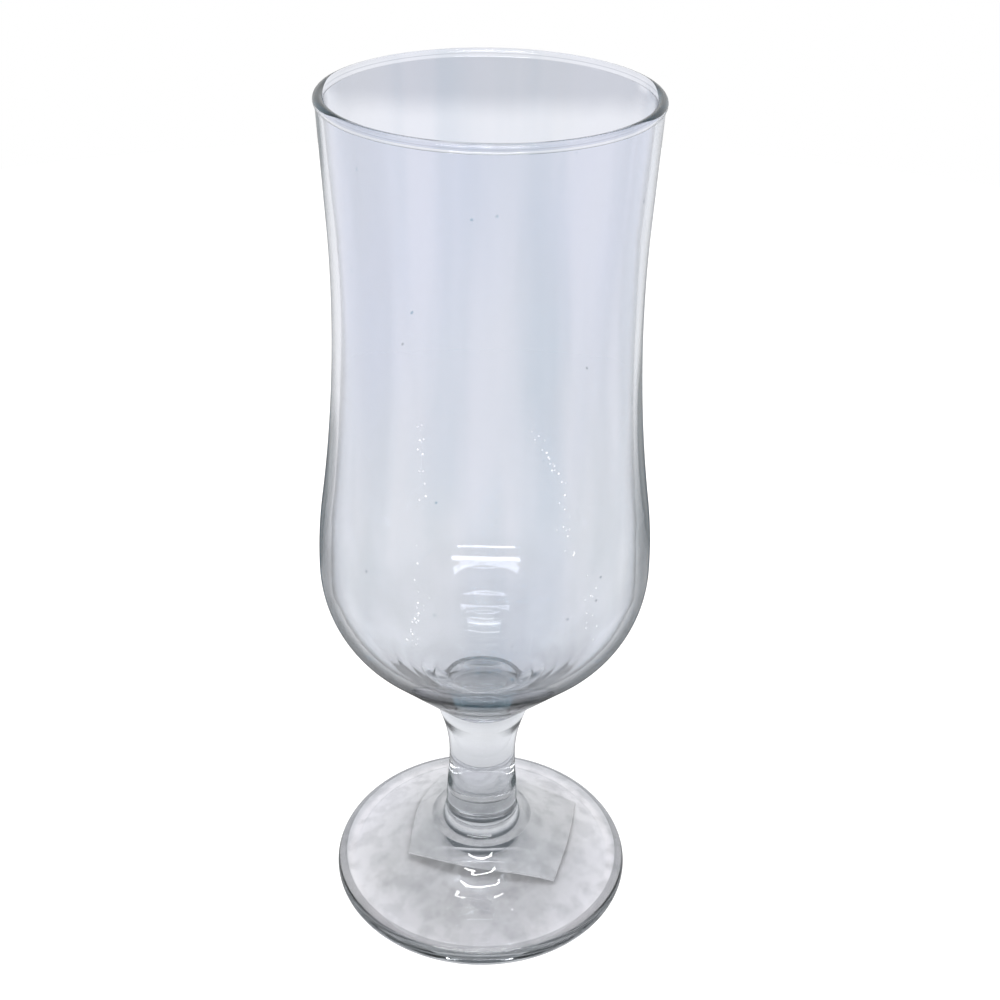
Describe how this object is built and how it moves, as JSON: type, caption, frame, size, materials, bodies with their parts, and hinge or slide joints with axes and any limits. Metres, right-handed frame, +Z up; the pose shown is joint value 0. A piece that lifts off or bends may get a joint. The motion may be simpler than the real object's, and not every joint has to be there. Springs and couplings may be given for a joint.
{
  "type": "goblet",
  "caption": "Clear glass goblet: a tall waisted bowl with a rounded rim, a short solid stem and a round domed foot to stand on.",
  "frame": {"origin": "centre of the ring on the foot's underside that the goblet stands on", "axes": "+Z up along the stem towards the rim; the goblet is round about Z, so X and Y are free, and +X and -Y face the picture's right and front"},
  "size_m": [0.0728, 0.0728, 0.195],
  "materials": {
    "clear_glass": "polished",
    "label_paper": "matte"
  },
  "bodies": {
    "root": {"bowl": "clear_glass", "stem": "clear_glass", "foot": "clear_glass", "base_label": "label_paper"}
  },
  "joints": []
}
